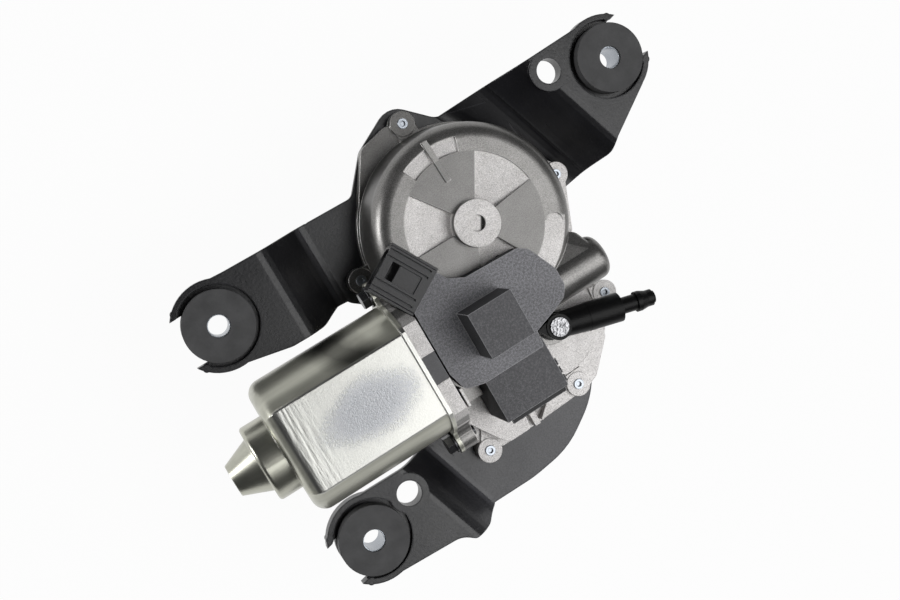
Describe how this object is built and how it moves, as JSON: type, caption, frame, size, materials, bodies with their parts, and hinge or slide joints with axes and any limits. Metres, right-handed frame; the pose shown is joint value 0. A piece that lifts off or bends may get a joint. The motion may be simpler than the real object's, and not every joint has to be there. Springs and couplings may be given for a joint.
{
  "type": "rear wiper motor",
  "caption": "Rear wiper motor: geared motor with an oscillating output shaft, electronics cover, connector and washer barb on a rubber-mounted steel bracket.",
  "frame": {"origin": "on the output shaft's axis at the bracket's outer face, the side the wiper arm is on", "axes": "+X along the motor axis from the can to the gear end, +Z away from the wiper arm along the output shaft, +Y across the bracket"},
  "size_m": [0.241, 0.1713, 0.1035],
  "materials": {
    "bracket_coat": "black electrophoretic coating, satin",
    "bush_rubber": "matte moulded rubber",
    "zinc_steel": "bright zinc plating",
    "cast_alloy": "as-cast satin alloy",
    "plate_steel": "zinc plated sheet and turned boss",
    "gasket_rubber": "thin black rubber",
    "can_steel": "deep drawn and zinc plated, glossy",
    "ferrite": "dull ferrite magnet",
    "bronze": "oil-filled sintered bronze",
    "spring_steel": "hardened spring steel",
    "white_plastic": "natural acetal",
    "shaft_steel": "ground steel",
    "dark_screw": "dark plated steel",
    "holder_plastic": "black moulded plastic",
    "carbon": "carbon brush",
    "core_steel": "stacked laminations",
    "copper": "enamelled copper and commutator bars",
    "worm_steel": "rolled thread",
    "brass_strip": "stamped contact strip",
    "sintered": "sintered steel",
    "black_nylon": "black glass-filled nylon",
    "board": "solder resist",
    "relay_case": "moulded relay case",
    "cover_nylon": "dark grey speckled glass-filled nylon"
  },
  "bodies": {
    "frame": {"mounting_bracket": "bracket_coat", "bushing_grommets": "bush_rubber", "bushing_sleeves": "zinc_steel", "gear_housing": "cast_alloy", "base_cover": "plate_steel", "base_gasket": "gasket_rubber", "housing_screws": "zinc_steel", "short_screw": "zinc_steel", "motor_can": "can_steel", "field_magnets": "ferrite", "rear_bearing": "bronze", "bearing_retainer": "spring_steel", "thrust_button": "white_plastic", "front_bearing": "bronze", "end_bearing": "bronze", "thrust_ball": "shaft_steel", "thrust_pad": "white_plastic", "motor_screws": "dark_screw", "brush_holder": "holder_plastic", "carbon_brushes": "carbon", "brush_springs": "spring_steel", "wheel_pin": "shaft_steel", "wheel_clip": "spring_steel", "park_switch": "holder_plastic", "upper_bush": "bronze", "lower_bush": "bronze", "shaft_seal": "gasket_rubber", "washer_fitting": "black_nylon", "washer_seal": "gasket_rubber", "electronics_carrier": "black_nylon", "circuit_board": "board", "relay": "relay_case", "capacitor": "relay_case", "electronics_cover": "cover_nylon", "connector_socket": "black_nylon", "terminal_pins": "brass_strip"},
    "armature": {"armature_shaft": "shaft_steel", "armature_core": "core_steel", "armature_windings": "copper", "commutator": "copper", "worm": "worm_steel"},
    "wheel": {"worm_wheel": "white_plastic", "crank_pin": "shaft_steel", "park_ring": "brass_strip"},
    "guide": {"guide_plate": "plate_steel", "guide_pin": "shaft_steel"},
    "sector": {"sector_link": "sintered"},
    "output": {"output_pinion": "sintered", "output_shaft": "shaft_steel", "shaft_circlip": "spring_steel"}
  },
  "joints": [
    {"name": "output_turn", "type": "hinge", "parent": "frame", "child": "output", "pos_m": [0, 0, 0], "axis": [0, 0, 1], "range_deg": [0, 122]},
    {"name": "guide_rock", "type": "hinge", "parent": "frame", "child": "guide", "pos_m": [0, 0, 0], "axis": [0, 0, 1], "range_deg": [0, 39]},
    {"name": "sector_swing", "type": "hinge", "parent": "guide", "child": "sector", "pos_m": [-0.01636, 0.02148, 0], "axis": [0, 0, 1], "range_deg": [-54, 0]},
    {"name": "armature_spin", "type": "hinge", "parent": "frame", "child": "armature", "pos_m": [0, 0.0153, 0.025], "axis": [1, 0, 0], "continuous": true},
    {"name": "wheel_spin", "type": "hinge", "parent": "frame", "child": "wheel", "pos_m": [-0.009, 0.054, 0], "axis": [0, 0, 1], "continuous": true}
  ],
  "couplings": [
    {"joint": "guide_rock", "follows": "output_turn", "ratio": 0.31456},
    {"joint": "sector_swing", "follows": "output_turn", "ratio": -0.43619},
    {"joint": "wheel_spin", "follows": "armature_spin", "ratio": -0.016667}
  ]
}
